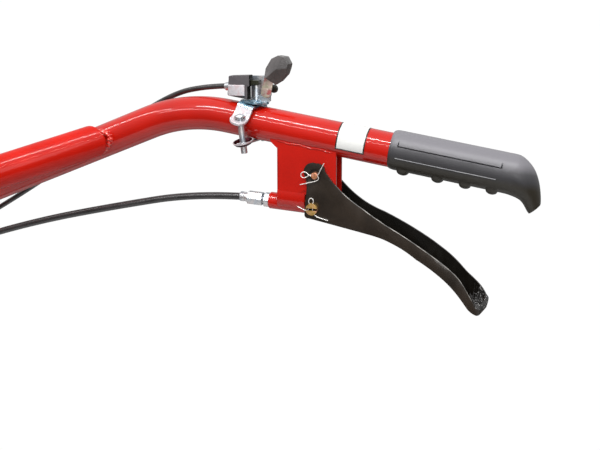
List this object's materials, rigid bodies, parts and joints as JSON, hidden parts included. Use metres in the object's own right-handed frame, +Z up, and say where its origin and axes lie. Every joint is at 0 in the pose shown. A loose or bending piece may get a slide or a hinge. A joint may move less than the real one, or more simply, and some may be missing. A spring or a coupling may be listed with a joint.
{
  "type": "garden tiller handlebar arm",
  "caption": "Bent tube handlebar arm of a garden tiller with rubber grip, clutch lever, throttle control, brace tube and mounting plate.",
  "frame": {"origin": "point of the mounting plate's outer face that the arm's axis meets, where the arm bolts to the machine", "axes": "+X runs from the machine towards the grip and the person, +Z is up, -Y is the side on which the brace tube leaves the arm"},
  "size_m": [0.753, 0.316, 0.2525],
  "materials": {
    "red_enamel": "gloss",
    "black_enamel": "gloss",
    "grip_rubber": "matte",
    "black_plastic": "matte",
    "bright_zinc": "satin",
    "yellow_zinc": "satin",
    "cable_jacket": "satin",
    "steel_wire": "satin"
  },
  "bodies": {
    "handlebar": {"handlebar_tube": "red_enamel", "brace_tube": "red_enamel", "mounting_plate": "red_enamel", "lever_bracket": "red_enamel", "cable_anchor": "red_enamel", "cable_adjuster": "bright_zinc", "clutch_cable": "cable_jacket", "hand_grip": "grip_rubber", "throttle_clamp": "bright_zinc", "throttle_clip": "bright_zinc", "throttle_base": "bright_zinc", "throttle_housing": "black_plastic", "throttle_cable": "cable_jacket", "lever_pivot_pin": "yellow_zinc"},
    "clutch_lever": {"clutch_lever": "black_enamel", "cable_pin": "yellow_zinc"},
    "clutch_wire": {"clutch_inner_wire": "steel_wire"},
    "throttle_lever": {"throttle_arm": "bright_zinc", "throttle_knob": "black_plastic"}
  },
  "joints": [
    {"name": "clutch_lever_pivot", "type": "hinge", "parent": "handlebar", "child": "clutch_lever", "pos_m": [0.548, 0, 0.107], "axis": [0, -1, 0], "range_deg": [0, 24]},
    {"name": "clutch_wire_slide", "type": "slide", "parent": "handlebar", "child": "clutch_wire", "axis": [0.9969, 0, -0.0785], "range_m": [0, 0.0132]},
    {"name": "throttle_lever_pivot", "type": "hinge", "parent": "handlebar", "child": "throttle_lever", "pos_m": [0.4985, 0, 0.182], "axis": [0, 1, 0], "range_deg": [-25, 40]}
  ],
  "couplings": [
    {"joint": "clutch_wire_slide", "follows": "clutch_lever_pivot", "m_per_rad": 0.031}
  ]
}
